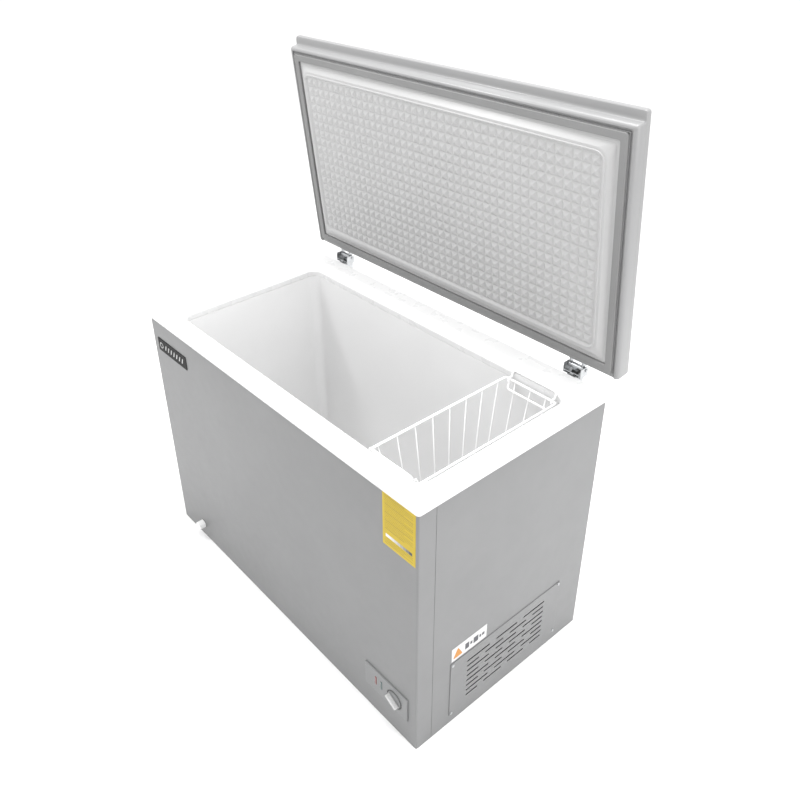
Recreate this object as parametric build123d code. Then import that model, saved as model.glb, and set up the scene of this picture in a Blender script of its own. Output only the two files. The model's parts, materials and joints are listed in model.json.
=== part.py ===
from build123d import *
import math
import os

# Chest freezer of about 300 litres, lid open. Millimetres.
# Origin: centre of the cabinet's footprint, on the floor. +X right, -Y front, +Z up.

# ---------------------------------------------------------------- cabinet
SHEET = 1.0                   # steel outer skin
BODY_X, BODY_Y = 552.5, 298.0     # half width and half depth of the steel body
BODY_TOP = 745.0
BODY_CORNER = 4.0
WRAP = 48.0                   # the front panel folds this far round each side
SEAM = 1.5
REAR_WRAP = 26.0              # the side panels fold this far round the back
BASE_SHEET = 1.5
BASE_LIP = 25.0

# ---------------------------------------------------------------- top rim
RIM_X, RIM_Y, RIM_TOP = 557.5, 303.0, 750.0
RIM_WALL = 3.0
RIM_DROP = 13.0
RIM_FLAT, RIM_FLAT_REAR = 40.0, 46.0
RIM_T, BEVEL_DROP, COLLAR_DROP = 71.0, 18.0, 35.5
RIM_CORNER, MOUTH_CORNER = 8.0, 24.0

# ---------------------------------------------------------------- tub
CAVITY_X, CAVITY_Y = RIM_X - RIM_T, RIM_Y - RIM_T
CAVITY_FLOOR = 80.0
LINER = 1.5
CAVITY_CORNER, FLOOR_RADIUS = 28.0, 20.0
STEP_X, STEP_Z = 235.0, 330.0
FOAM = 64.0
BAY_X, BAY_TOP = STEP_X + FOAM, STEP_Z - FOAM

# ---------------------------------------------------------------- lid, as if closed
LID_X, LID_REAR, LID_FRONT = 564.0, 305.0, -297.0
LID_LOW, LID_TOP = 753.0, 797.0
LID_FLANGE = 761.0            # underside that carries the seal
NOSE, NOSE_LOW = 22.0, 779.0  # grip along the front edge
LID_CORNER = 6.0
RETURN = 17.0
REAR_CUT = 12.0               # the rear skirt is cut back this far from each side
GASKET_OUT_X, GASKET_IN_X = 546.0, 528.0
GASKET_FRONT, GASKET_REAR = -262.0, 273.0
GASKET_LOW = 750.5
MAGNET_INSET, MAGNET_LOW, MAGNET_HIGH = 4.0, GASKET_LOW + 1.5, GASKET_LOW + 5.5
PLINTH_LOW = 743.0
PLINTH_EDGE, PLINTH_SLOPE, PLINTH_REAR = 12.0, 14.0, 3.0
LID_LINER, FIELD_DEPTH = 2.0, 6.0
LINER_TOP = LID_FLANGE - 3.0

# ---------------------------------------------------------------- lid hinges
HINGE_Y, HINGE_Z, HINGE_X = 326.0, 765.0, 443.0
LID_ANGLE = 83.7
PIN_R, PIN_PLAY = 4.0, 0.05
HOUSING_HALF, HOUSING_WALL = 26.0, 2.0
HOUSING_LOW, HOUSING_BACK = 610.0, 338.0
CHANNEL_HALF = 12.5                  # the part of the housing that guides the plunger
HEAD_FRONT, HEAD_LOW = 305.5, 749.0  # the wider head that holds the pin
CHEEK_R, CHEEK_SWEEP = 8.5, 20.4     # round top of the cheeks and the lid's clearance
FRONT_WALL_TOP = 757.0
KNUCKLE_R, LEAF_T = 7.5, 3.0
EAR_X, EAR_HALF = 18.0, 2.0
LID_SCREW_X, LID_SCREW_Z = 10.0, LID_TOP - 12.0
SCREW_HOLE = 2.5
HOUSING_SCREWS = [(x, z) for x in (-20, 20) for z in (640, 700)]
CAM_REST_R, CAM_RISE = 9.0, 4.5      # spiral cam: radius at rest and rise per radian
PLUNGER_R, PLUNGER_GAP = 9.0, 1.2
PLUNGER_H = 30.0
SPRING_R, SPRING_WIRE, SPRING_TURNS = 7.0, 1.25, 11

# ---------------------------------------------------------------- basket
BASKET_X0, BASKET_X1 = 311.0, 469.0
BASKET_Y, BASKET_RIM_Z, BASKET_FLOOR_Z = 222.0, 717.5, 517.5
BASKET_TAPER_Y, BASKET_TAPER_X = 40.0, 8.0
RIM_WIRE, THIN_WIRE, LOOP_WIRE = 3.0, 1.6, 2.5
ROWS = 8                      # upright wires along each long wall, and floor wires
END_SHARES = (-0.58, 0, 0.58)     # where the end wires stand across the basket
LOOP_HALF, LOOP_ARM, LOOP_LEAN = 66.5, 24.8, 26.0
LOOP_X = 393.0

# ---------------------------------------------------------------- cold circuit and electrics
COMP_X, COMP_Y, COMP_R, COMP_H = 425.0, 90.0, 76.0, 135.0
COMP_Z = 32.0
DRIER_X, DRIER_Y, DRIER_LOW, DRIER_TOP = 335.0, 215.0, 90.0, 170.0
GLAND_X, GLAND_Z, GLAND_R = 380.0, 60.0, 8.0
PANEL_X, PANEL_Z, PANEL_W, PANEL_H = 449.0, 116.0, 151.0, 76.0
KNOB_X, KNOB_Z, KNOB_R = 480.0, 115.0, 22.5
SHAFT_R = 3.0
GRIP_HALF, GRIP_W, GRIP_TURN = 21.0, 6.0, 30.0    # the dial's grip bar: half sizes and slant
RED_X, GREEN_X, LAMP_W, LAMP_H, LAMP_Z = 413.0, 433.0, 5.6, 26.0, 119.0
DRAIN_X, DRAIN_Y, DRAIN_Z = -425.0, -180.0, 47.0
BADGE = (-525, -368, 639, 680)    # left, right, low and high edges on the front
LABEL = (445, 545, 591, 732)
STICKER = (-188, -71, 220, 263)   # front, rear, low and high edges on the right side
VENT_Y0, VENT_Y1, VENT_Z0, VENT_Z1 = -191.0, 204.0, 30.0, 215.0
VENT_DEPTH, VENT_WALL = 2.2, 1.2
VENT_ROWS, VENT_PITCH, VENT_TOP_ROW, SLOT_H = 8, 17.7, 184.0, 5.0
LONG_ROW = [(163, 240), (264, 340), (364, 443)]
SHORT_ROW = [(163, 204), (226, 290), (314, 375), (400, 441)]


def block(x0, x1, y0, y1, z0, z1):
    """A box between two corners."""
    size = Box(x1 - x0, y1 - y0, z1 - z0)
    return Pos((x0 + x1) / 2, (y0 + y1) / 2, (z0 + z1) / 2) * size


def plate(x0, x1, y0, y1, radius, z):
    """A rounded rectangle face lying at height z."""
    place = Pos((x0 + x1) / 2, (y0 + y1) / 2, z)
    return place * RectangleRounded(x1 - x0, y1 - y0, radius)


def prism(x0, x1, y0, y1, radius, z0, z1):
    """An upright block with rounded corners."""
    return extrude(plate(x0, x1, y0, y1, radius, z0), z1 - z0, dir=(0, 0, 1))


def round_bar(radius, start, end):
    """A straight round bar between two points."""
    a, b = Vector(*start), Vector(*end)
    return extrude(Plane(origin=a, z_dir=b - a) * Circle(radius), (b - a).length)


def bent_bar(points, radius, bend, closed=False):
    """A round bar along straight runs joined by tangent arcs."""
    path = FilletPolyline(*points, radius=bend, close=closed)
    return sweep(Plane(origin=path @ 0, z_dir=path % 0) * Circle(radius), path=path)


def both_sides(make):
    """The same piece at the left and the right hinge."""
    return {"left": Pos(-HINGE_X, 0, 0) * make(), "right": Pos(HINGE_X, 0, 0) * make()}


def save(name, shape):
    solids = shape.solids() if hasattr(shape, "solids") else shape
    export_step(solids[0] if len(solids) == 1 else Compound(solids), f"parts/{name}.step")


# ================================================================ cabinet shells
def body_ring():
    outer = prism(-BODY_X, BODY_X, -BODY_Y, BODY_Y, BODY_CORNER, 0, BODY_TOP)
    inner = prism(
        SHEET - BODY_X, BODY_X - SHEET, SHEET - BODY_Y, BODY_Y - SHEET,
        BODY_CORNER - SHEET, 0, BODY_TOP,
    )
    return outer - inner


def front_panel():
    fold = SEAM / 2 + WRAP - BODY_Y
    panel = body_ring() & block(-600, 600, -BODY_Y, fold, 0, BODY_TOP)
    window = block(
        PANEL_X - PANEL_W / 2 + 4, PANEL_X + PANEL_W / 2 - 4, -BODY_Y - 1, 1 - BODY_Y,
        PANEL_Z - PANEL_H / 2 + 4, PANEL_Z + PANEL_H / 2 - 4,
    )
    outlet = round_bar(10.3, (DRAIN_X, -BODY_Y - 2, DRAIN_Z), (DRAIN_X, 3 - BODY_Y, DRAIN_Z))
    return panel - window - outlet


def side_panel(side):
    fold = SEAM * 1.5 + WRAP - BODY_Y
    x0, x1 = sorted((side * (BODY_X - REAR_WRAP), side * BODY_X))
    panel = body_ring() & block(x0, x1, fold, BODY_Y, 0, BODY_TOP)
    if side > 0:
        margin = 12
        panel -= block(
            BODY_X - 3, BODY_X + 3, VENT_Y0 + margin, VENT_Y1 - margin,
            VENT_Z0 + margin, VENT_Z1 - margin,
        )
    return panel


def rear_panel():
    edge = BODY_X - REAR_WRAP - SEAM
    panel = block(-edge, edge, BODY_Y - SHEET, BODY_Y, 0, BODY_TOP)
    return panel - round_bar(GLAND_R, (GLAND_X, BODY_Y - 3, GLAND_Z), (GLAND_X, BODY_Y + 3, GLAND_Z))


def base_pan():
    x, y = BODY_X - SHEET, BODY_Y - SHEET
    tray = prism(-x, x, -y, y, BODY_CORNER - SHEET, 0, BASE_LIP)
    t = BASE_SHEET
    return tray - prism(t - x, x - t, t - y, y - t, 1.4, t, BASE_LIP)


def bay_bulkhead():
    y = BODY_Y - SHEET - 2 * BASE_SHEET
    wall = block(BAY_X, BAY_X + 1, -y, y, BASE_SHEET, BAY_TOP)
    roof = block(BAY_X, BODY_X - SHEET - BASE_SHEET, -y, y, BAY_TOP, BAY_TOP + 1)
    return wall + roof


def cavity(grow, top=RIM_TOP - COLLAR_DROP - 0.3):
    """The tub's hollow, or its outside when grown by the wall."""
    x, y, low = CAVITY_X + grow, CAVITY_Y + grow, CAVITY_FLOOR - grow
    tub = prism(-x, x, -y, y, CAVITY_CORNER + grow, low, top)
    tub = fillet(tub.edges().group_by(Axis.Z)[0], FLOOR_RADIUS + grow)
    return tub - block(STEP_X + grow, 600, -300, 300, 0, STEP_Z - grow)


def cut_up(shell, cells):
    """Flat panels and rounded corner strips that meet face to face."""
    return [piece for cell in cells for piece in (shell & block(*cell)).solids()]


def ring_cells(x_edges, y_edges, z0, z1):
    """The cells of a rectangular grid seen from above, between two heights."""
    return [
        (x0, x1, y0, y1, z0, z1)
        for x0, x1 in zip(x_edges, x_edges[1:]) for y0, y1 in zip(y_edges, y_edges[1:])
    ]


def drain_path():
    return [(DRAIN_X, DRAIN_Y, CAVITY_FLOOR), (DRAIN_X, DRAIN_Y, DRAIN_Z),
            (DRAIN_X, -BODY_Y - 8, DRAIN_Z)]


def inner_liner():
    """Flat walls, a floor and a shelf, joined by rounded corner strips."""
    hole = round_bar(10.2, (DRAIN_X, DRAIN_Y, CAVITY_FLOOR - 5), (DRAIN_X, DRAIN_Y, CAVITY_FLOOR + 5))
    shell = cavity(LINER) - cavity(0) - hole
    x, y = CAVITY_X - CAVITY_CORNER, CAVITY_Y - CAVITY_CORNER
    y_edges = (-RIM_Y, -y, y, RIM_Y)
    bend = CAVITY_FLOOR + FLOOR_RADIUS
    deep = (-RIM_X, -x, STEP_X)
    cells = ring_cells(deep, y_edges, 0, bend) + ring_cells(deep, y_edges, bend, RIM_TOP)
    cells.append((STEP_X, RIM_X, -RIM_Y, RIM_Y, 0, STEP_Z - LINER))
    cells.append((STEP_X, RIM_X, -RIM_Y, RIM_Y, STEP_Z - LINER, STEP_Z))
    cells += ring_cells((STEP_X, x, RIM_X), y_edges, STEP_Z, RIM_TOP)
    return cut_up(shell, cells)


def mouth_core(t_low, z_low, z_bevel, t_high, t_high_rear, z_high):
    """The space inside the rim: an upright collar below, a sloping bevel above."""
    def ring(t, rear, radius, z):
        return plate(t - RIM_X, RIM_X - t, t - RIM_Y, RIM_Y - rear, radius, z)
    collar = extrude(ring(t_low, t_low, CAVITY_CORNER, z_low), z_bevel - z_low, dir=(0, 0, 1))
    bevel = loft([ring(t_low, t_low, CAVITY_CORNER, z_bevel),
                  ring(t_high, t_high_rear, MOUTH_CORNER, z_high)])
    return collar + bevel


def rim_underside():
    """The hollow's outer boundary under the rim, which the foam also meets."""
    return mouth_core(
        RIM_T - RIM_WALL, RIM_TOP - COLLAR_DROP - 0.01, RIM_TOP - BEVEL_DROP - 1.5,
        RIM_FLAT + 2, RIM_FLAT_REAR + 2, RIM_TOP - RIM_WALL + 0.01,
    )


def top_rim():
    """Four straight rails and four corner pieces."""
    low = RIM_TOP - COLLAR_DROP
    slab = prism(-RIM_X, RIM_X, -RIM_Y, RIM_Y, RIM_CORNER, low, RIM_TOP)
    slab = fillet(slab.edges().group_by(Axis.Z)[-1], 2.0)
    slab -= mouth_core(RIM_T, low - 1, RIM_TOP - BEVEL_DROP, RIM_FLAT, RIM_FLAT_REAR, RIM_TOP + 0.01)
    x, y = RIM_X - RIM_WALL, RIM_Y - RIM_WALL
    under = prism(-x, x, -y, y, RIM_CORNER - RIM_WALL, low - 1, RIM_TOP - RIM_WALL)
    skirt = prism(-600, 600, -400, 400, 5, low - 1, RIM_TOP - RIM_DROP)
    frame = slab - (under - rim_underside()) - (skirt - rim_underside())
    x, y = CAVITY_X - CAVITY_CORNER, CAVITY_Y - CAVITY_CORNER
    return cut_up(frame, ring_cells((-RIM_X, -x, x, RIM_X), (-RIM_Y, -y, y, RIM_Y), 0, RIM_TOP))


def cabinet_foam():
    x, y = BODY_X - SHEET, BODY_Y - SHEET
    low = BASE_LIP + 0.5
    foam = prism(-x, x, -y, y, BODY_CORNER - SHEET, low, BODY_TOP)
    foam -= rim_underside()
    foam -= cavity(LINER, RIM_TOP - COLLAR_DROP + 1)
    foam -= block(BAY_X, 600, -400, 400, 0, BAY_TOP + 1)
    coil_x, coil_y = CAVITY_X + LINER + 9.5, CAVITY_Y + LINER + 9.5
    coil_zone = prism(-coil_x, coil_x, -coil_y, coil_y, CAVITY_CORNER + 9.5, 345, 705)
    foam -= coil_zone
    foam -= block(-500, 500, y - 8, y + 1, 290, 700)
    return foam - bent_bar(drain_path(), 10.2, 20)


def vent_screw_places():
    return [(y, z) for y in (VENT_Y0 + 6, VENT_Y1 - 6) for z in (VENT_Z0 + 6, VENT_Z1 - 6)]


def vent_cover():
    wall = VENT_WALL
    outer = block(BODY_X, BODY_X + VENT_DEPTH, VENT_Y0, VENT_Y1, VENT_Z0, VENT_Z1)
    outer = fillet(outer.edges().group_by(Axis.X)[-1], wall)
    outer -= block(
        BODY_X - 1, BODY_X + VENT_DEPTH - wall, VENT_Y0 + wall, VENT_Y1 - wall,
        VENT_Z0 + wall, VENT_Z1 - wall,
    )
    for y, z in vent_screw_places():
        outer -= round_bar(2.0, (BODY_X, y, z), (BODY_X + 5, y, z))
    for row in range(VENT_ROWS):
        z = VENT_TOP_ROW - row * VENT_PITCH
        for start, end in LONG_ROW if row % 2 == 0 else SHORT_ROW:
            outer -= block(
                BODY_X - 1, BODY_X + 5, start - BODY_Y, end - BODY_Y, z - SLOT_H / 2, z + SLOT_H / 2,
            )
    return outer


def screw(place, head_r, head_h, shank_r, length):
    """A pan-head screw whose head stands on the plane's origin."""
    head = extrude(place * Circle(head_r), head_h)
    head = fillet(head.edges().sort_by(lambda e: -(e.center() - place.origin).dot(place.z_dir))[0], 0.8)
    return head + extrude(place * Circle(shank_r), -length)


def vent_cover_screws():
    return [
        screw(Plane(origin=(BODY_X + VENT_DEPTH, y, z), z_dir=(1, 0, 0)), 4.0, 2.0, 1.8, VENT_DEPTH - 0.1)
        for y, z in vent_screw_places()
    ]


# ================================================================ lid
def lid_open(shape):
    """Turns a piece drawn closed to where the open lid carries it."""
    return Pos(0, HINGE_Y, HINGE_Z) * Rot(-LID_ANGLE, 0, 0) * Pos(0, -HINGE_Y, -HINGE_Z) * shape


def lid_block(inset, low):
    body = prism(
        inset - LID_X, LID_X - inset, LID_FRONT + inset, LID_REAR - inset,
        LID_CORNER - inset, low, LID_TOP - inset,
    )
    nose = prism(
        inset - LID_X, LID_X - inset, LID_FRONT - NOSE + inset, LID_REAR - inset,
        LID_CORNER - inset, NOSE_LOW + inset, LID_TOP - inset,
    )
    both = body + nose
    return fillet(both.edges().group_by(Axis.Z)[-1], LID_CORNER - 1 - inset)


def lid_skin():
    """Folded steel shell: a return round its low edge, cut away at the rear for the hinges."""
    shell = lid_block(0, LID_LOW) - lid_block(SHEET, LID_LOW - 5)
    ring = prism(1 - LID_X, LID_X - 1, LID_FRONT + 1, LID_REAR - 1, 4, LID_LOW, LID_LOW + SHEET)
    ring -= block(
        RETURN - LID_X, LID_X - RETURN, LID_FRONT + RETURN, LID_REAR + 5, 700, 800,
    )
    rear = block(-LID_X - 5, LID_X + 5, LID_REAR - 12, LID_REAR + 5, 740, LID_FLANGE)
    cut = LID_X - REAR_CUT
    rear -= block(-LID_X - 5, -cut, 200, 400, 740, 800)
    rear -= block(cut, LID_X + 5, 200, 400, 740, 800)
    seal_edge = GASKET_REAR + GASKET_OUT_X - GASKET_IN_X + 0.5
    fold = block(-cut, cut, seal_edge, LID_REAR, LID_FLANGE - SHEET, LID_FLANGE)
    return shell + ring - rear + fold


def gasket_ring(inset, z0, z1):
    wide = GASKET_OUT_X - GASKET_IN_X
    outer = prism(
        inset - GASKET_OUT_X, GASKET_OUT_X - inset,
        GASKET_FRONT - wide + inset, GASKET_REAR + wide - inset, 8, z0, z1,
    )
    inner = prism(
        -GASKET_IN_X - inset, GASKET_IN_X + inset,
        GASKET_FRONT - inset, GASKET_REAR + inset, 4, z0, z1,
    )
    return outer - inner


def lid_gasket():
    bulb = gasket_ring(0, GASKET_LOW, LID_FLANGE)
    bulb = fillet(bulb.edges().group_by(Axis.Z)[0], 2.0)
    return bulb - gasket_magnet()


def gasket_magnet():
    return gasket_ring(MAGNET_INSET, MAGNET_LOW, MAGNET_HIGH)


def liner_plate(inset, radius, z0, z1):
    return prism(
        inset - GASKET_IN_X, GASKET_IN_X - inset, GASKET_FRONT + inset, GASKET_REAR - inset,
        radius, z0, z1,
    )


def plinth(shift, low):
    """The raised field under the lid, a shallow block with sloping sides."""
    def ring(inset, radius, z):
        return plate(
            inset - GASKET_IN_X, GASKET_IN_X - inset,
            GASKET_FRONT + inset, GASKET_REAR - PLINTH_REAR - inset, radius, z,
        )
    outer = PLINTH_EDGE + shift
    return loft([ring(outer, 24, LINER_TOP), ring(outer + PLINTH_SLOPE, 20, low)])


def lid_liner():
    flange = liner_plate(2, 8, LINER_TOP - LID_LINER, LINER_TOP)
    edge = liner_plate(2, 8, LINER_TOP, LID_FLANGE) - liner_plate(4, 6, LINER_TOP, LID_FLANGE)
    return flange + edge + plinth(0, PLINTH_LOW) - plinth(LID_LINER, PLINTH_LOW + FIELD_DEPTH)


def lid_foam():
    slab = prism(
        1 - LID_X, LID_X - 1, LID_FRONT + 1, LID_REAR - 1, LID_CORNER - 1, LID_FLANGE, LID_TOP - 5,
    )
    step = liner_plate(4, 6, LINER_TOP, LID_FLANGE)
    return slab + step + plinth(LID_LINER, PLINTH_LOW + FIELD_DEPTH)


# ================================================================ lid hinges
def hinge_housing():
    """Steel channel on the cabinet's back, with a wider head that holds the pin."""
    h, w, c = HOUSING_HALF, HOUSING_WALL, CHANNEL_HALF
    axis = [(x, HINGE_Y, HINGE_Z) for x in (-h, h)]
    under_rim = RIM_TOP - RIM_DROP - 1
    body = block(-h, h, BODY_Y, BODY_Y + w, HOUSING_LOW, under_rim)
    body += block(-c, c, BODY_Y, HOUSING_BACK, HOUSING_LOW, under_rim)
    body += block(-c, c, HEAD_FRONT, HOUSING_BACK, under_rim, HEAD_LOW + w)
    head_back = HINGE_Y + CHEEK_R
    body += block(-h, h, HEAD_FRONT, head_back, HEAD_LOW, HINGE_Z)
    cheek_top = block(-h, h, HEAD_FRONT, HINGE_Y, HINGE_Z, HINGE_Z + CHEEK_R)
    body += cheek_top & round_bar(CHEEK_SWEEP, *axis)
    body += round_bar(CHEEK_R, *axis)
    body -= block(w - c, c - w, BODY_Y + w, HOUSING_BACK - w, HOUSING_LOW + w, under_rim)
    body -= block(w - c, c - w, HEAD_FRONT + w, HOUSING_BACK - w, under_rim, HEAD_LOW + w)
    body -= block(w - h, h - w, HEAD_FRONT + w, HOUSING_BACK, HEAD_LOW + w, LID_TOP)
    body -= block(w - h, h - w, HEAD_FRONT - 1, HEAD_FRONT + w, FRONT_WALL_TOP, LID_TOP)
    for x in (-h / 2, h / 2):
        body -= block(x - 8, x + 8, HEAD_FRONT - 1, HEAD_FRONT + w, HEAD_LOW + w, FRONT_WALL_TOP - w)
    for x, z in HOUSING_SCREWS:
        body -= round_bar(SCREW_HOLE, (x, BODY_Y - 1, z), (x, BODY_Y + w + 1, z))
    bore = PIN_R + PIN_PLAY
    return body - round_bar(bore, (-h - 1, HINGE_Y, HINGE_Z), (h + 1, HINGE_Y, HINGE_Z))


def hinge_pin():
    h = HOUSING_HALF
    shaft = round_bar(PIN_R, (-h - 2, HINGE_Y, HINGE_Z), (h + 2, HINGE_Y, HINGE_Z))
    head = round_bar(PIN_R + 2, (-h - 3, HINGE_Y, HINGE_Z), (-h - 0.2, HINGE_Y, HINGE_Z))
    return shaft + head


def cam_outline():
    """Spiral: the radius grows evenly with the angle, so the plunger moves evenly."""
    points = []
    steps = 10
    for i in range(steps + 1):
        turn = math.radians(-20 + i * (LID_ANGLE + 30) / steps)
        radius = CAM_REST_R + CAM_RISE * max(turn, -0.3)
        points.append((HINGE_Y - radius * math.sin(turn), HINGE_Z - radius * math.cos(turn)))
    return points


def hinge_cam():
    """Drawn with the lid open; the spiral faces down and to the front."""
    points = cam_outline()
    face = Plane.YZ * make_face([Spline(*points), Polyline(points[-1], (HINGE_Y, HINGE_Z), points[0])])
    return Pos(-5, 0, 0) * extrude(face, 10, dir=(1, 0, 0))


def hinge_leaf():
    inside = HOUSING_HALF - HOUSING_WALL
    half, back = inside - 1.5, LID_REAR + LEAF_T
    leaf = block(-half, half, LID_REAR, back, LID_FLANGE + 1, LID_TOP - 3)
    for x in (-LID_SCREW_X, LID_SCREW_X):
        leaf -= round_bar(SCREW_HOLE, (x, LID_REAR - 1, LID_SCREW_Z), (x, back + 1, LID_SCREW_Z))
    for x in (-EAR_X, EAR_X):
        x0, x1 = x - EAR_HALF, x + EAR_HALF
        leaf += block(x0, x1, back, HINGE_Y, HINGE_Z - 5, HINGE_Z + 5)
        leaf += block(x0, x1, back, LID_REAR + 12, HINGE_Z, LID_TOP - 8)
    leaf += round_bar(KNUCKLE_R, (-inside + 2, HINGE_Y, HINGE_Z), (inside - 2, HINGE_Y, HINGE_Z))
    leaf = lid_open(leaf) + hinge_cam()
    bore = PIN_R + PIN_PLAY
    return leaf - round_bar(bore, (-inside, HINGE_Y, HINGE_Z), (inside, HINGE_Y, HINGE_Z))


def plunger_top():
    return HINGE_Z - CAM_REST_R - PLUNGER_GAP


def hinge_plunger():
    top = plunger_top()
    cone = 7.0
    body = round_bar(PLUNGER_R, (0, HINGE_Y, top - cone - PLUNGER_H), (0, HINGE_Y, top - cone))
    tip = loft([Pos(0, HINGE_Y, top - cone) * Circle(PLUNGER_R), Pos(0, HINGE_Y, top) * Circle(2)])
    return body + tip


def hinge_spring():
    low = HOUSING_LOW + HOUSING_WALL + SPRING_WIRE + 0.1
    high = plunger_top() - 7 - PLUNGER_H - SPRING_WIRE - 0.1
    pitch = (high - low) / SPRING_TURNS
    coil = Helix(pitch=pitch, height=high - low, radius=SPRING_R)
    wire = sweep(Plane(origin=coil @ 0, z_dir=coil % 0) * Circle(SPRING_WIRE), path=coil)
    return Pos(0, HINGE_Y, low) * wire


def hinge_cabinet_screws():
    out = []
    for side in (-1, 1):
        for x, z in HOUSING_SCREWS:
            place = Plane(origin=(side * HINGE_X + x, BODY_Y + HOUSING_WALL, z), z_dir=(0, 1, 0))
            out.append(screw(place, 4.5, 2.5, SCREW_HOLE - 0.1, HOUSING_WALL - 0.1))
    return out


def hinge_lid_screws():
    out = []
    for side in (-1, 1):
        for x in (-LID_SCREW_X, LID_SCREW_X):
            place = Plane(origin=(side * HINGE_X + x, LID_REAR + LEAF_T, LID_SCREW_Z), z_dir=(0, 1, 0))
            out.append(lid_open(screw(place, 4.5, 2.5, SCREW_HOLE - 0.1, LEAF_T - 0.1)))
    return out


# ================================================================ basket
def basket_floor():
    return (BASKET_X0 + BASKET_TAPER_X, BASKET_X1 - BASKET_TAPER_X, BASKET_Y - BASKET_TAPER_Y)


def row_shares():
    """Evenly spread places between -1 and 1, one for each row of wire."""
    return [(i + 0.5) / ROWS * 2 - 1 for i in range(ROWS)]


def basket_frame(x0, x1, y, z, radius, bend):
    """A closed rectangular wire frame with bent corners."""
    corners = [(x0, -y, z), (x1, -y, z), (x1, y, z), (x0, y, z)]
    return bent_bar(corners, radius, bend, closed=True)


def basket_rim():
    return basket_frame(BASKET_X0, BASKET_X1, BASKET_Y, BASKET_RIM_Z, RIM_WIRE, 9)


def basket_base_ring():
    x0, x1, y = basket_floor()
    return basket_frame(x0, x1, y, BASKET_FLOOR_Z, THIN_WIRE * 1.4, 12)


def basket_side_wires():
    """Upright wires of the two long walls, leaning in to the floor frame."""
    x0, x1, y = basket_floor()
    out = []
    for share in row_shares():
        for top_x, low_x in ((BASKET_X0, x0), (BASKET_X1, x1)):
            out.append(round_bar(
                THIN_WIRE, (top_x, share * BASKET_Y, BASKET_RIM_Z - RIM_WIRE + 0.4),
                (low_x, share * y, BASKET_FLOOR_Z + THIN_WIRE),
            ))
    return out


def basket_end_wires():
    x0, x1, y = basket_floor()
    out = []
    for share in END_SHARES:
        top_x = (BASKET_X0 + BASKET_X1) / 2 + share * (BASKET_X1 - BASKET_X0) / 2
        low_x = (x0 + x1) / 2 + share * (x1 - x0) / 2
        for side in (-1, 1):
            out.append(round_bar(
                THIN_WIRE, (top_x, side * BASKET_Y, BASKET_RIM_Z - RIM_WIRE + 0.4),
                (low_x, side * y, BASKET_FLOOR_Z + THIN_WIRE),
            ))
    return out


def basket_floor_cross_wires():
    x0, x1, y = basket_floor()
    z = BASKET_FLOOR_Z - THIN_WIRE * 2.2
    return [
        round_bar(THIN_WIRE, (x0 - 2, share * y, z), (x1 + 2, share * y, z)) for share in row_shares()
    ]


def basket_floor_long_wires():
    x0, x1, y = basket_floor()
    out = []
    for share in END_SHARES:
        x = (x0 + x1) / 2 + share * (x1 - x0) / 2
        z = BASKET_FLOOR_Z - THIN_WIRE * 4.0
        out.append(round_bar(THIN_WIRE, (x, -y - 2, z), (x, y + 2, z)))
    return out


def basket_handle(side):
    """A closed wire loop that tilts about the basket's end rim wire."""
    lean = math.radians(LOOP_LEAN)
    up = (side * math.sin(lean), math.cos(lean))
    off = RIM_WIRE + LOOP_WIRE + 0.5
    normal = (side * math.cos(lean), -math.sin(lean))

    def at(x, along, lift):
        y = side * BASKET_Y + along * up[0] + lift * normal[0]
        z = BASKET_RIM_Z + along * up[1] + lift * normal[1]
        return (x, y, z)

    h, arm = LOOP_HALF, LOOP_ARM
    points = []
    for x in (-h, h):
        run = [(-arm, 0), (-8, 0), (-5, off), (5, off), (8, 0), (arm, 0)]
        run = run if x < 0 else run[::-1]
        points += [at(LOOP_X + x, along, -lift) for along, lift in run]
    corner, kink = 8.0, 2.0
    radii = [corner, kink, kink, kink, kink, corner] * 2
    return bent_bar(points, LOOP_WIRE, radii, closed=True)


# ================================================================ cold circuit
def compressor_shell():
    pot = round_bar(COMP_R, (COMP_X, COMP_Y, COMP_Z), (COMP_X, COMP_Y, COMP_Z + COMP_H))
    pot = fillet(pot.edges().filter_by(GeomType.CIRCLE), 32)
    weld_z = COMP_Z + COMP_H * 0.55
    return pot + round_bar(COMP_R + 2, (COMP_X, COMP_Y, weld_z), (COMP_X, COMP_Y, weld_z + 6))


def foot_places():
    return [(COMP_X + dx, COMP_Y + dy) for dx in (-85, 85) for dy in (-60, 60)]


def compressor_plate():
    x, y = COMP_X, COMP_Y
    sheet = prism(x - 100, x + 100, y - 75, y + 75, 15, COMP_Z - 3, COMP_Z)
    for px, py in foot_places():
        sheet -= round_bar(8, (px, py, 0), (px, py, 60))
    return sheet


def compressor_grommets():
    out = []
    for px, py in foot_places():
        ring = round_bar(12, (px, py, BASE_SHEET), (px, py, COMP_Z - 3))
        ring += round_bar(7.8, (px, py, COMP_Z - 3), (px, py, COMP_Z + 2))
        out.append(ring - round_bar(4.3, (px, py, 0), (px, py, 60)))
    return out


def compressor_bolts():
    out = []
    for px, py in foot_places():
        shank = round_bar(4, (px, py, BASE_SHEET), (px, py, COMP_Z + 2))
        out.append(shank + round_bar(8, (px, py, COMP_Z + 2), (px, py, COMP_Z + 7)))
    return out


def relay_box():
    y = COMP_Y - COMP_R
    return block(COMP_X - 28, COMP_X + 28, y - 22, y + 20, 62, 122) - compressor_relief()


def compressor_relief():
    return round_bar(COMP_R + 2.2, (COMP_X, COMP_Y, 0), (COMP_X, COMP_Y, 300))


def filter_drier():
    x, y = DRIER_X, DRIER_Y
    body = round_bar(10, (x, y, DRIER_LOW), (x, y, DRIER_TOP))
    for z0, z1 in ((DRIER_TOP, DRIER_TOP + 15), (DRIER_LOW, DRIER_LOW - 15)):
        body += loft([Pos(x, y, z0) * Circle(10), Pos(x, y, z1) * Circle(4)])
    return body


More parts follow.
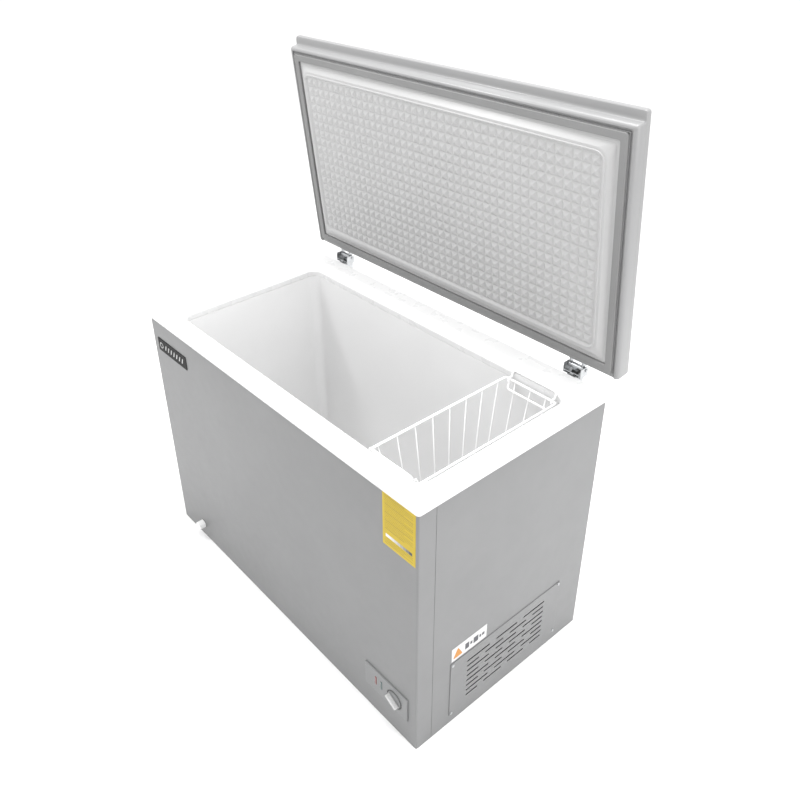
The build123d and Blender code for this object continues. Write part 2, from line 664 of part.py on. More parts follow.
def discharge_pipe():
    x, y, z = COMP_X - 30, COMP_Y + 20, COMP_Z + COMP_H
    run = 225
    drier = (DRIER_X, DRIER_Y)
    return bent_bar([(x, y, z), (x, y, run), (*drier, run), (*drier, DRIER_TOP + 15)], 4.0, 20)


def suction_pipe():
    x, y, z = COMP_X + 20, COMP_Y - 25, COMP_Z + COMP_H
    return bent_bar([(x, y, z), (x, y, 240), (BAY_X + 1, y, 240)], 5.0, 25)


def liquid_pipe():
    run = 50
    drier = (DRIER_X, DRIER_Y)
    return bent_bar([(*drier, DRIER_LOW - 15), (*drier, run), (BAY_X + 1, DRIER_Y, run)], 3.0, 12)


def evaporator_coil():
    x, y = CAVITY_X + LINER + 4.8, CAVITY_Y + LINER + 4.8
    top, pitch, turns = 690, 54, 6
    points = []
    for i in range(turns):
        z = top - i * pitch
        points += [(-x, -y, z), (x, -y, z), (x, y, z), (-x, y, z - pitch)]
    return bent_bar([(-x, 0, top)] + points + [(-x, 60, top - turns * pitch)], 4.0, 34)


def condenser_coil():
    y = BODY_Y - SHEET - 4
    x, top, pitch, runs = 490, 690, 42, 9
    points = []
    for i in range(runs):
        z = top - i * pitch
        ends = [(-x, y, z), (x, y, z)]
        points += ends if i % 2 == 0 else ends[::-1]
    return bent_bar(points, 3.0, 20)


# ================================================================ controls, drain, labels
def control_panel():
    x0, x1 = PANEL_X - PANEL_W / 2, PANEL_X + PANEL_W / 2
    z0, z1 = PANEL_Z - PANEL_H / 2, PANEL_Z + PANEL_H / 2
    front = block(x0, x1, -BODY_Y - 4, -BODY_Y, z0, z1)
    front = fillet(front.edges().group_by(Axis.Y)[0], 2.0)
    tub = block(x0 + 5, x1 - 5, -BODY_Y, 14 - BODY_Y, z0 + 5, z1 - 5)
    tub -= block(x0 + 7, x1 - 7, 2 - BODY_Y, 20 - BODY_Y, z0 + 7, z1 - 7)
    panel = front + tub
    for x in (RED_X, GREEN_X):
        panel -= block(
            x - LAMP_W / 2, x + LAMP_W / 2, -BODY_Y - 6, 4 - BODY_Y,
            LAMP_Z - LAMP_H / 2, LAMP_Z + LAMP_H / 2,
        )
    dial = round_bar(26, (KNOB_X, -BODY_Y - 6, KNOB_Z), (KNOB_X, -BODY_Y - 2.5, KNOB_Z))
    shaft = round_bar(SHAFT_R + 0.05, (KNOB_X, -BODY_Y - 6, KNOB_Z), (KNOB_X, 30 - BODY_Y, KNOB_Z))
    return panel - dial - shaft


def lamp(x):
    w, h = LAMP_W / 2 - 0.1, LAMP_H / 2 - 0.1
    body = block(x - w, x + w, -BODY_Y - 5, 9 - BODY_Y, LAMP_Z - h, LAMP_Z + h)
    return fillet(body.edges().group_by(Axis.Y)[0], 0.8)


def thermostat_knob():
    y = -BODY_Y - 3.0
    disc = round_bar(KNOB_R, (KNOB_X, y - 4, KNOB_Z), (KNOB_X, y, KNOB_Z))
    disc = fillet(disc.edges().group_by(Axis.Y)[0], 1.5)
    grip = block(-GRIP_HALF, GRIP_HALF, y - 15, y - 3, -GRIP_W, GRIP_W)
    grip = fillet(grip.edges().filter_by(Axis.Y), 5.0)
    grip = fillet(grip.edges().group_by(Axis.Y)[0], 2.0)
    grip = Pos(KNOB_X, 0, KNOB_Z) * Rot(0, GRIP_TURN, 0) * grip
    return disc + grip + round_bar(SHAFT_R, (KNOB_X, y, KNOB_Z), (KNOB_X, 24 - BODY_Y, KNOB_Z))


def thermostat_body():
    y0 = 16 - BODY_Y
    body = block(KNOB_X - 26, KNOB_X + 22, y0, y0 + 32, KNOB_Z - 20, KNOB_Z + 20)
    return body - round_bar(SHAFT_R + 0.05, (KNOB_X, y0 - 1, KNOB_Z), (KNOB_X, y0 + 9, KNOB_Z))


def drain_tube():
    return bent_bar(drain_path(), 10.0, 20) - bent_bar(
        [(DRAIN_X, DRAIN_Y, CAVITY_FLOOR + 1), (DRAIN_X, DRAIN_Y, DRAIN_Z),
         (DRAIN_X, -BODY_Y - 9, DRAIN_Z)], 7.0, 20,
    )


def drain_cap():
    y = -BODY_Y
    cap = round_bar(13, (DRAIN_X, y - 22, DRAIN_Z), (DRAIN_X, y - 1, DRAIN_Z))
    cap = fillet(cap.edges().group_by(Axis.Y)[0], 3.0)
    return cap - round_bar(10.4, (DRAIN_X, y - 9, DRAIN_Z), (DRAIN_X, y, DRAIN_Z))


def drain_plug():
    z = CAVITY_FLOOR
    stem = round_bar(6.6, (DRAIN_X, DRAIN_Y, z - 10), (DRAIN_X, DRAIN_Y, z + 0.4))
    head = round_bar(15, (DRAIN_X, DRAIN_Y, z + 0.4), (DRAIN_X, DRAIN_Y, z + 6))
    return stem + fillet(head.edges().group_by(Axis.Z)[-1], 2.0)


def badge_plate():
    x0, x1, z0, z1 = BADGE
    sheet = block(x0, x1, -BODY_Y - 1.5, -BODY_Y, z0, z1)
    return fillet(sheet.edges().filter_by(Axis.Y), 2.0)


def energy_label():
    x0, x1, z0, z1 = LABEL
    return block(x0, x1, -BODY_Y - 0.4, -BODY_Y, z0, z1)


def side_sticker():
    y0, y1, z0, z1 = STICKER
    return block(BODY_X, BODY_X + 0.4, y0, y1, z0, z1)


def cable_gland():
    def at(y):
        return (GLAND_X, BODY_Y + y, GLAND_Z)
    ring = round_bar(GLAND_R - 0.1, at(-6), at(2)) + round_bar(12, at(0), at(6))
    return ring - round_bar(4, at(-9), at(9))


def main():
    os.makedirs("parts", exist_ok=True)
    pieces = {
        "front_panel": front_panel(),
        "right_side_panel": side_panel(1),
        "left_side_panel": side_panel(-1),
        "rear_panel": rear_panel(),
        "base_pan": base_pan(),
        "bay_bulkhead": bay_bulkhead(),
        "inner_liner": inner_liner(),
        "top_rim": top_rim(),
        "cabinet_foam": cabinet_foam(),
        "vent_cover": vent_cover(),
        "vent_cover_screws": Compound(vent_cover_screws()),
        "lid_skin": lid_open(lid_skin()),
        "lid_foam": lid_open(lid_foam()),
        "lid_liner": lid_open(lid_liner()),
        "lid_gasket": lid_open(lid_gasket()),
        "gasket_magnet": lid_open(gasket_magnet()),
        "hinge_cabinet_screws": Compound(hinge_cabinet_screws()),
        "hinge_lid_screws": Compound(hinge_lid_screws()),
        "basket_rim_wire": basket_rim(),
        "basket_base_ring": basket_base_ring(),
        "basket_side_wires": Compound(basket_side_wires()),
        "basket_end_wires": Compound(basket_end_wires()),
        "basket_floor_cross_wires": Compound(basket_floor_cross_wires()),
        "basket_floor_long_wires": Compound(basket_floor_long_wires()),
        "basket_handle_front": basket_handle(-1),
        "basket_handle_rear": basket_handle(1),
        "compressor_shell": compressor_shell(),
        "compressor_plate": compressor_plate(),
        "compressor_grommets": Compound(compressor_grommets()),
        "compressor_bolts": Compound(compressor_bolts()),
        "relay_box": relay_box(),
        "filter_drier": filter_drier(),
        "discharge_pipe": discharge_pipe(),
        "suction_pipe": suction_pipe(),
        "liquid_pipe": liquid_pipe(),
        "evaporator_coil": evaporator_coil(),
        "condenser_coil": condenser_coil(),
        "control_panel": control_panel(),
        "power_lamp": lamp(RED_X),
        "run_lamp": lamp(GREEN_X),
        "thermostat_knob": thermostat_knob(),
        "thermostat_body": thermostat_body(),
        "drain_tube": drain_tube(),
        "drain_cap": drain_cap(),
        "drain_plug": drain_plug(),
        "badge_plate": badge_plate(),
        "energy_label": energy_label(),
        "side_sticker": side_sticker(),
        "cable_gland": cable_gland(),
    }
    for name, make in (
        ("hinge_housing", hinge_housing), ("hinge_pin", hinge_pin), ("hinge_leaf", hinge_leaf),
        ("hinge_plunger", hinge_plunger), ("hinge_spring", hinge_spring),
    ):
        for side, shape in both_sides(make).items():
            pieces[f"{name}_{side}"] = shape
    for name, shape in pieces.items():
        save(name, shape)


main()
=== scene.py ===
"""Looks of the chest freezer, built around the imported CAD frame. Metres."""

import json
import math

import bmesh
import bpy
from mathutils import Matrix, Vector


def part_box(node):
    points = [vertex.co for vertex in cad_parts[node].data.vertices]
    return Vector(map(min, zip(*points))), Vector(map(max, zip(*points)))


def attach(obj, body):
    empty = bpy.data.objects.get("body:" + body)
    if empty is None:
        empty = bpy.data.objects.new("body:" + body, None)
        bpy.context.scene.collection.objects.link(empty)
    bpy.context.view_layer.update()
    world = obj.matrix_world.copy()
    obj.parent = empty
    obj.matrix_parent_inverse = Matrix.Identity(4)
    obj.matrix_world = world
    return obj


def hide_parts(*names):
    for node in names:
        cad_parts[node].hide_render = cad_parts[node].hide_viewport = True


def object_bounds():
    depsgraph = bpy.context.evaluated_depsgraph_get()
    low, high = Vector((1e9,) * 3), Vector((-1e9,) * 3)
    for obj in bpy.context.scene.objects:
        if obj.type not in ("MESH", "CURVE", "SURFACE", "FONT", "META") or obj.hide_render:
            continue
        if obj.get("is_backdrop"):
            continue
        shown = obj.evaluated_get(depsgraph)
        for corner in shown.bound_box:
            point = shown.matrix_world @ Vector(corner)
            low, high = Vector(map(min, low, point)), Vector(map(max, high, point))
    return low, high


MM = 0.001
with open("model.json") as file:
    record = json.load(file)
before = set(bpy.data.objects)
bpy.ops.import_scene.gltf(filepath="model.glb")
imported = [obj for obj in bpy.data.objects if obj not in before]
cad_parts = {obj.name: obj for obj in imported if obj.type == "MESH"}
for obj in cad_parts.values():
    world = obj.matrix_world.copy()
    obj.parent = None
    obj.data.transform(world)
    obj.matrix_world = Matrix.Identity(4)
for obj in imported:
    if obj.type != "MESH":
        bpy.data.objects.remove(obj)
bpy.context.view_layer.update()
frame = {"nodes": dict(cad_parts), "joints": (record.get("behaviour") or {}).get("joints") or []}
lid_joint = next(j for j in frame["joints"] if j["name"] == "lid_hinge")
HINGE = Vector(lid_joint["pos_m"])
LID_ANGLE = math.radians(-lid_joint["range_deg"][0])


# ---------------------------------------------------------------- places
def lid_pose():
    """Carries a point drawn with the lid closed to where the open lid holds it."""
    turn = Matrix.Rotation(-LID_ANGLE, 4, "X")
    return Matrix.Translation(HINGE) @ turn @ Matrix.Translation(-HINGE)


def box(node):
    low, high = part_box(node)
    return Vector(low), Vector(high)


def closed_box(node):
    """A lid piece's box as it is with the lid closed."""
    back = lid_pose().inverted()
    points = [back @ v.co for v in frame["nodes"][node].data.vertices]
    low = Vector([min(p[i] for p in points) for i in range(3)])
    high = Vector([max(p[i] for p in points) for i in range(3)])
    return low, high


# ---------------------------------------------------------------- mesh helpers
def new_object(name, vertices, faces, smooth=True):
    mesh = bpy.data.meshes.new(name)
    mesh.from_pydata(vertices, [], faces)
    mesh.validate()
    mesh.update()
    tidy = bmesh.new()
    tidy.from_mesh(mesh)
    bmesh.ops.recalc_face_normals(tidy, faces=tidy.faces)
    tidy.to_mesh(mesh)
    tidy.free()
    for face in mesh.polygons:
        face.use_smooth = smooth
    piece = bpy.data.objects.new(name, mesh)
    bpy.context.scene.collection.objects.link(piece)
    return piece


def modify(piece, kind, **settings):
    """Adds one modifier and applies it to the mesh."""
    modifier = piece.modifiers.new(kind.lower(), kind)
    for key, value in settings.items():
        setattr(modifier, key, value)
    depsgraph = bpy.context.evaluated_depsgraph_get()
    solid = bpy.data.meshes.new_from_object(piece.evaluated_get(depsgraph))
    piece.modifiers.clear()
    piece.data = solid
    return piece


def shade_by_angle(piece, degrees=35):
    limit = math.radians(degrees)
    mesh = piece.data
    tidy = bmesh.new()
    tidy.from_mesh(mesh)
    for edge in tidy.edges:
        edge.smooth = len(edge.link_faces) == 2 and edge.calc_face_angle(0.0) < limit
    for face in tidy.faces:
        face.smooth = True
    tidy.to_mesh(mesh)
    tidy.free()


def rounded_line(points, radii, steps=5, closed=False):
    """Rounds the corners of a line of 2-D or 3-D points with arcs drawn as curves."""
    out = []
    count = len(points)
    for i, point in enumerate(points):
        radius = radii[i] if isinstance(radii, (list, tuple)) else radii
        ends = not closed and i in (0, count - 1)
        if ends or radius <= 0:
            out.append(Vector(point))
            continue
        here = Vector(point)
        before = (Vector(points[i - 1]) - here)
        after = (Vector(points[(i + 1) % count]) - here)
        half = before.angle(after) / 2
        cut = min(radius / math.tan(half), before.length * 0.49, after.length * 0.49)
        a = here + before.normalized() * cut
        b = here + after.normalized() * cut
        for k in range(steps + 1):
            t = k / steps
            out.append(a * (1 - t) ** 2 + here * 2 * t * (1 - t) + b * t ** 2)
    return out


def rect_loop(x0, x1, y0, y1, radius, z, steps=8):
    """Points of a rounded rectangle, always the same number of them."""
    out = []
    corners = ((x1, y1, 0), (x0, y1, 90), (x0, y0, 180), (x1, y0, 270))
    for cx, cy, start in corners:
        sx = -1 if cx == x1 else 1
        sy = -1 if cy == y1 else 1
        for k in range(steps + 1):
            a = math.radians(start + 90 * k / steps)
            out.append((cx + sx * radius + radius * math.cos(a),
                        cy + sy * radius + radius * math.sin(a), z))
    return out


def loops_to_faces(count, loops, close_rings):
    faces = []
    last = loops if close_rings else loops - 1
    for j in range(last):
        a, b = j * count, ((j + 1) % loops) * count
        for i in range(count):
            k = (i + 1) % count
            faces.append((a + i, a + k, b + k, b + i))
    return faces


def tube(name, points, radius, sides=10, closed=False):
    """A round wire along points; its ends are capped."""
    vertices, faces = [], []
    count = len(points)
    normal = None
    for i, point in enumerate(points):
        ahead = points[(i + 1) % count] if closed or i < count - 1 else point
        behind = points[i - 1] if closed or i > 0 else point
        along = (Vector(ahead) - Vector(behind)).normalized()
        if normal is None:
            normal = along.orthogonal().normalized()
        normal = (normal - along * normal.dot(along)).normalized()
        side = along.cross(normal)
        for k in range(sides):
            a = 2 * math.pi * k / sides
            vertices.append(Vector(point) + (normal * math.cos(a) + side * math.sin(a)) * radius)
    faces = loops_to_faces(sides, count, closed)
    if not closed:
        faces += [tuple(range(sides))[::-1], tuple((count - 1) * sides + k for k in range(sides))]
    return new_object(name, vertices, faces)


def join(name, pieces):
    """Joins meshes into one object."""
    tidy = bmesh.new()
    for piece in pieces:
        tidy.from_mesh(piece.data)
        bpy.data.objects.remove(piece)
    mesh = bpy.data.meshes.new(name)
    tidy.to_mesh(mesh)
    tidy.free()
    for face in mesh.polygons:
        face.use_smooth = True
    piece = bpy.data.objects.new(name, mesh)
    bpy.context.scene.collection.objects.link(piece)
    return piece


def slab(name, x0, x1, y0, y1, z0, z1, bevel=0.0):
    """A block with rounded edges."""
    vertices = [(x, y, z) for z in (z0, z1) for x, y in ((x0, y0), (x1, y0), (x1, y1), (x0, y1))]
    faces = [(0, 1, 2, 3), (4, 5, 6, 7), (0, 1, 5, 4), (1, 2, 6, 5), (2, 3, 7, 6), (3, 0, 4, 7)]
    piece = new_object(name, vertices, faces)
    if bevel > 0:
        modify(piece, "BEVEL", width=bevel, segments=3, limit_method="NONE")
    shade_by_angle(piece, 50)
    return piece


def dress(piece, finish, body, replaces=()):
    piece.data.materials.clear()
    piece.data.materials.append(finish)
    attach(piece, body)
    if replaces:
        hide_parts(*replaces)
    return piece


# ---------------------------------------------------------------- materials
def new_material(name):
    made = bpy.data.materials.new(name)
    made.use_nodes = True
    tree = made.node_tree
    return made, tree.nodes, tree.links, tree.nodes["Principled BSDF"]


def finish(name, colour, rough, *, metal=0.0, vary=0.03, vary_scale=6.0, grain=400.0,
           bump=0.02, rough_vary=0.06, coat=0.0, coat_rough=0.1, specular=0.5, stretch=None):
    """A moulded, painted or metal surface: slight tone drift, uneven gloss and fine grain."""
    made, nodes, links, shader = new_material(name)
    place = nodes.new("ShaderNodeTexCoord")
    source = place.outputs["Object"]
    if stretch:
        squeeze = nodes.new("ShaderNodeMapping")
        squeeze.inputs["Scale"].default_value = stretch
        links.new(source, squeeze.inputs["Vector"])
        source = squeeze.outputs["Vector"]

    def noise(scale, detail):
        node = nodes.new("ShaderNodeTexNoise")
        node.inputs["Scale"].default_value = scale
        node.inputs["Detail"].default_value = detail
        links.new(source, node.inputs["Vector"])
        return node.outputs["Fac"]

    drift = nodes.new("ShaderNodeMapRange")
    drift.inputs["From Min"].default_value = 0.3
    drift.inputs["From Max"].default_value = 0.7
    drift.inputs["To Min"].default_value = 0.0
    drift.inputs["To Max"].default_value = 1.0
    links.new(noise(vary_scale, 3.0), drift.inputs["Value"])
    tone = nodes.new("ShaderNodeMix")
    tone.data_type = "RGBA"
    tone.inputs["A"].default_value = [c * (1 - vary) for c in colour] + [1]
    tone.inputs["B"].default_value = [min(1.0, c * (1 + vary)) for c in colour] + [1]
    links.new(drift.outputs["Result"], tone.inputs["Factor"])
    links.new(tone.outputs["Result"], shader.inputs["Base Color"])

    gloss = nodes.new("ShaderNodeMapRange")
    gloss.inputs["To Min"].default_value = max(0.02, rough - rough_vary)
    gloss.inputs["To Max"].default_value = min(1.0, rough + rough_vary)
    links.new(noise(vary_scale * 5, 4.0), gloss.inputs["Value"])
    links.new(gloss.outputs["Result"], shader.inputs["Roughness"])

    relief = nodes.new("ShaderNodeBump")
    relief.inputs["Strength"].default_value = bump
    relief.inputs["Distance"].default_value = 0.001
    links.new(noise(grain, 4.0), relief.inputs["Height"])
    links.new(relief.outputs["Normal"], shader.inputs["Normal"])

    shader.inputs["Metallic"].default_value = metal
    shader.inputs["Specular IOR Level"].default_value = specular
    shader.inputs["Coat Weight"].default_value = coat
    shader.inputs["Coat Roughness"].default_value = coat_rough
    return made


M = {
    "body": finish("grey_powder_coat", (0.178, 0.179, 0.181), 0.42, grain=900, bump=0.05,
                   coat=0.15, coat_rough=0.3),
    "rim": finish("rim_gloss_plastic", (0.72, 0.72, 0.72), 0.28, grain=260, bump=0.015, vary=0.01),
    "tub": finish("tub_plastic", (0.76, 0.76, 0.76), 0.42, grain=300, bump=0.02, vary=0.012),
    "lid": finish("lid_enamel", (0.262, 0.262, 0.264), 0.34, grain=700, bump=0.03, vary=0.015,
                  coat=0.2),
    "lid_liner": finish("lid_liner_plastic", (0.44, 0.44, 0.44), 0.34, grain=300, bump=0.03,
                        vary=0.015),
    "gasket": finish("gasket_rubber", (0.22, 0.22, 0.22), 0.62, grain=1200, bump=0.12, vary=0.05),
    "wire": finish("white_coated_wire", (0.93, 0.93, 0.93), 0.3, grain=500, bump=0.08, vary=0.01),
    "zinc": finish("zinc_plate", (0.50, 0.51, 0.52), 0.34, metal=1.0, grain=200, bump=0.08,
                   vary=0.12, vary_scale=60),
    "galvanised": finish("galvanised_sheet", (0.55, 0.56, 0.57), 0.45, metal=1.0, vary=0.2,
                         vary_scale=40, bump=0.05),
    "black_metal": finish("black_enamel", (0.02, 0.02, 0.022), 0.35, coat=0.4, bump=0.05),
    "black_plastic": finish("black_plastic", (0.03, 0.03, 0.03), 0.5, grain=1500, bump=0.1),
    "rubber": finish("black_rubber", (0.03, 0.03, 0.03), 0.75, grain=1400, bump=0.15),
    "copper": finish("drawn_copper", (0.75, 0.40, 0.26), 0.3, metal=1.0, vary=0.15, vary_scale=30,
                     bump=0.04),
    "foam": finish("rigid_foam", (0.75, 0.66, 0.42), 0.95, grain=700, bump=0.4, vary=0.08),
    "panel": finish("panel_plastic", (0.19, 0.193, 0.195), 0.33, grain=1200, bump=0.05),
    "knob": finish("knob_plastic", (0.50, 0.50, 0.50), 0.27, grain=900, bump=0.04, coat=0.3),
    "white": finish("white_plastic", (0.85, 0.85, 0.85), 0.35, grain=900, bump=0.04),
    "badge": finish("badge_satin_black", (0.010, 0.010, 0.010), 0.5, specular=0.12, grain=800, bump=0.02),
    "silver": finish("badge_silver", (0.42, 0.42, 0.42), 0.35, metal=0.3, bump=0.02),
    "yellow": finish("label_paper", (0.50, 0.36, 0.0), 0.5, grain=1500, bump=0.05, vary=0.03,
                     vary_scale=20),
    "print": finish("label_print", (0.30, 0.22, 0.02), 0.55, grain=1500, bump=0.05),
    "sticker": finish("sticker_paper", (0.60, 0.60, 0.60), 0.45, grain=1500, bump=0.05),
    "amber": finish("sticker_amber", (0.50, 0.21, 0.03), 0.45, grain=1500, bump=0.05),
    "ink": finish("sticker_ink", (0.08, 0.08, 0.09), 0.5, grain=1500, bump=0.05),
    # Dark sealant in the panel joints; the same dark grey also makes the dial's ring of painted shade.
    "seal": finish("sealant_and_painted_shade", (0.13, 0.13, 0.13), 0.7, grain=1200, bump=0.1),
    "magnet": finish("ferrite_strip", (0.06, 0.06, 0.06), 0.7),
    "red": finish("red_lens", (0.17, 0.015, 0.012), 0.15, coat=0.6, bump=0.02),
    "green": finish("green_lens", (0.02, 0.065, 0.062), 0.15, coat=0.6, bump=0.02),
}

NODE_FINISH = {
    "front_panel": "body", "right_side_panel": "body", "left_side_panel": "body", "rear_panel": "body",
    "vent_cover": "body", "base_pan": "galvanised", "bay_bulkhead": "galvanised",
    "inner_liner": "tub", "top_rim": "rim", "cabinet_foam": "foam", "lid_foam": "foam",
    "lid_skin": "lid", "lid_liner": "lid_liner", "lid_gasket": "gasket", "gasket_magnet": "magnet",
    "compressor_shell": "black_metal", "compressor_plate": "black_metal",
    "compressor_grommets": "rubber", "compressor_bolts": "zinc", "relay_box": "black_plastic",
    "filter_drier": "copper", "discharge_pipe": "copper", "suction_pipe": "copper",
    "liquid_pipe": "copper", "evaporator_coil": "copper", "condenser_coil": "copper",
    "control_panel": "panel", "power_lamp": "red", "run_lamp": "green",
    "thermostat_knob": "knob", "thermostat_body": "white", "drain_tube": "white",
    "drain_cap": "white", "drain_plug": "rubber", "badge_plate": "badge",
    "energy_label": "yellow", "side_sticker": "sticker", "cable_gland": "rubber",
    "hinge_plunger_left": "black_plastic", "hinge_plunger_right": "black_plastic",
}


def dress_cad():
    """Every CAD node that stays on show gets its finish."""
    for name, node in frame["nodes"].items():
        wire = name.startswith("basket")
        key = NODE_FINISH.get(name, "wire" if wire else "zinc")
        for slot in node.material_slots:
            slot.material = M[key]


# ---------------------------------------------------------------- rim of the tub
RIM_MOUTH = 71                    # from the rim's outer edge to the tub's wall
RIM_REAR_FLAT = 6                 # the flat along the rear is wider by about this much
RIM_PROFILE = [                   # millimetres in from the outer edge, height, rounding
    (0, -13, 0.4), (0, 0, 2.2), (40, 0, 7), (RIM_MOUTH, -18, 5), (RIM_MOUTH, -32.6, 0.8),
    (70.0, -34.8, 0.4), (69.9, -35.75, 0.1), (68.4, -35.75, 0.2), (68.4, -19.6, 2),
    (42, -3, 2), (3, -3, 1.5), (3, -13, 0.4)]


def top_rim():
    """Flat white frame, a bevel into the mouth and an upright collar below it."""
    low, high = box("top_rim")
    corners = [(inset, rise, 0) for inset, rise, rounding in RIM_PROFILE]
    line = rounded_line(corners, [rounding for inset, rise, rounding in RIM_PROFILE], closed=True)
    vertices = []
    for point in line:
        t, z = point.x * MM, high.z + point.y * MM
        share = min(1.0, point.x / RIM_MOUTH)
        rear = t
        if 30 < point.x < RIM_MOUTH:
            rear += RIM_REAR_FLAT * MM * math.sin(math.pi * share)
        radius = (8 + 20 * share) * MM
        vertices += rect_loop(low.x + t, high.x - t, low.y + t, high.y - rear, radius, z)
    count = len(vertices) // len(line)
    piece = new_object("top_rim_shell", vertices, loops_to_faces(count, len(line), True))
    shade_by_angle(piece, 40)
    return dress(piece, M["rim"], "cabinet", ["top_rim"])


# ---------------------------------------------------------------- lid liner
FIELD_COLUMNS, FIELD_ROWS = 42, 19
FIELD_INSET = 36.0                # from the sheet's edge to the field of pyramids
FIELD_REAR = 4.0                  # the border is this much wider along the rear
FLANGE = 6.5                      # the flat edge beside the seal
SHEET = 1.2 * MM


def lid_liner():
    """Inner sheet: a flange, a bevel, a flat, a raised bead and a field of small pyramids."""
    low, high = closed_box("lid_liner")
    drop = (high.z - low.z) / MM
    profile = [                   # millimetres in from the edge, depth, rounding
        (-1.0, 0, 0), (-1.0, -5, 0.5), (FLANGE, -5.2, 1.5), (18.5, -drop + 1.6, 2),
        (24.5, -drop + 1.6, 0.6), (25.6, -drop, 0.6), (27.4, -drop, 1.2), (34.0, -drop + 4.4, 1),
        (FIELD_INSET, -drop + 4.6, 0)]
    corners = [(inset, depth, 0) for inset, depth, rounding in profile]
    line = rounded_line(corners, [rounding for inset, depth, rounding in profile])
    vertices = []
    for point in line:
        share = max(0.0, min(1.0, (point.x - FLANGE) / (FIELD_INSET - FLANGE)))
        t = point.x * MM
        rear = t + FIELD_REAR * MM * min(1.0, share * 2.4)
        radius = (5 + 25 * min(1, share * 2.5) - 21 * max(0, share * 2 - 1)) * MM
        vertices += rect_loop(low.x + t, high.x - t, low.y + t, high.y - rear, radius,
                              high.z + point.y * MM)
    count = len(vertices) // len(line)
    border = new_object("border", vertices, loops_to_faces(count, len(line), False))
    field = waffle_field(low, high, FIELD_INSET * MM, FIELD_REAR * MM, low.z)
    piece = join("lid_liner_sheet", [facing_down(border), facing_down(field)])
    modify(piece, "SOLIDIFY", thickness=SHEET, offset=-1)
    piece.data.transform(lid_pose())
    shade_by_angle(piece, 16)
    return dress(piece, M["lid_liner"], "lid", ["lid_liner"])


def facing_down(piece):
    """Turns a sheet's normals down, away from the lid's foam."""
    if sum(face.normal.z * face.area for face in piece.data.polygons) > 0:
        piece.data.flip_normals()
    return piece


def waffle_field(low, high, inset, rear_extra, face_z):
    """Rows of four-sided pyramids with small blunt tops, drawn cell by cell."""
    lap = 1 * MM                  # the field runs this far under the border
    x0, x1 = low.x + inset - lap, high.x - inset + lap
    y0, y1 = low.y + inset - lap, high.y - inset - rear_extra + lap
    dx, dy = (x1 - x0) / FIELD_COLUMNS, (y1 - y0) / FIELD_ROWS
    valley, crest = face_z + 4.7 * MM, face_z + 0.2 * MM
    square = ((0, 0), (1, 0), (1, 1), (0, 1))
    start, wide = 0.42, 0.16      # where the blunt top starts in its cell, and its width
    vertices = [(x0 + i * dx, y0 + j * dy, valley)
                for j in range(FIELD_ROWS + 1) for i in range(FIELD_COLUMNS + 1)]
    faces = []
    for j in range(FIELD_ROWS):
        for i in range(FIELD_COLUMNS):
            foot = [(j + b) * (FIELD_COLUMNS + 1) + i + a for a, b in square]
            first = len(vertices)
            vertices += [(x0 + (i + start + wide * a) * dx, y0 + (j + start + wide * b) * dy, crest)
                         for a, b in square]
            faces += [(foot[k], foot[(k + 1) % 4], first + (k + 1) % 4, first + k) for k in range(4)]
            faces.append(tuple(range(first, first + 4)))
    return new_object("field", vertices, faces)


# ---------------------------------------------------------------- lid skin
NOSE = 22 * MM
REAR_CUT = 12 * MM                # the rear skirt stops this far from each side
REAR_CUT_LOW = 6.5                # and is this much higher than the skirt elsewhere
CORNER_STEPS = 4
LID_PROFILE = [                   # inset, height over the skirt, reach into the nose
    (18, 5.0, 0), (18, 2.0, 0), (16.4, 2.0, 0), (15.6, 5.6, 0), (11.4, 5.8, 0), (10.4, 1.4, 0),
    (9.0, 0.0, 0), (6.0, 0.4, 0), (3.2, 2.0, 0), (1.2, 4.8, 0), (0.0, 9.5, 0), (0.0, 20.0, 0),
    (0.0, 23.0, 0.04), (0.0, 25.0, 0.14), (0.0, 26.0, 0.34), (0.0, 26.4, 0.74), (0.0, 27.6, 0.93),
    (0.0, 29.5, 1.0), (0.0, 38.0, 1.0), (0.6, 41.2, 0.96), (2.4, 43.2, 0.86), (6.0, 44.0, 0.68),
    (40.0, 44.0, 0.0)]


def lid_skin():
    """Light grey painted shell: round skirt, a groove beside the seal and a grip in front."""
    low, high = closed_box("lid_skin")
    step = high.x - REAR_CUT
    vertices = []
    for inset, rise, reach in LID_PROFILE:
        t = inset * MM
        x1, y0, y1 = high.x - t, low.y + NOSE * (1 - reach) + t * 17 / 18, high.y - t * 14 / 18
        radius = max(1.5, 6 - inset * 0.3) * MM
        skirt = low.z + rise * MM
        loop = rect_loop(-x1, x1, y0, y1, radius, skirt, CORNER_STEPS)
        lifted = low.z + max(rise, REAR_CUT_LOW) * MM
        widest = x1 - 2 * MM
        right = [(min(step + MM, widest), y1, skirt), (min(step, widest), y1, lifted)]
        left = [(-x, y, z) for x, y, z in reversed(right)]
        vertices += loop[:CORNER_STEPS + 1] + right + left + loop[CORNER_STEPS + 1:]
    count = len(vertices) // len(LID_PROFILE)
    top = tuple((len(LID_PROFILE) - 1) * count + i for i in range(count))
    piece = new_object("lid_shell", vertices, loops_to_faces(count, len(LID_PROFILE), False) + [top])
    outward = piece.data.polygons[-1].normal.z > 0
    modify(piece, "SOLIDIFY", thickness=0.8 * MM, offset=-1 if outward else 1)
    piece.data.transform(lid_pose())
    shade_by_angle(piece, 32)
    return dress(piece, M["lid"], "lid", ["lid_skin"])


# ---------------------------------------------------------------- basket
WIRE_R, BEND = 1.25 * MM, 12 * MM


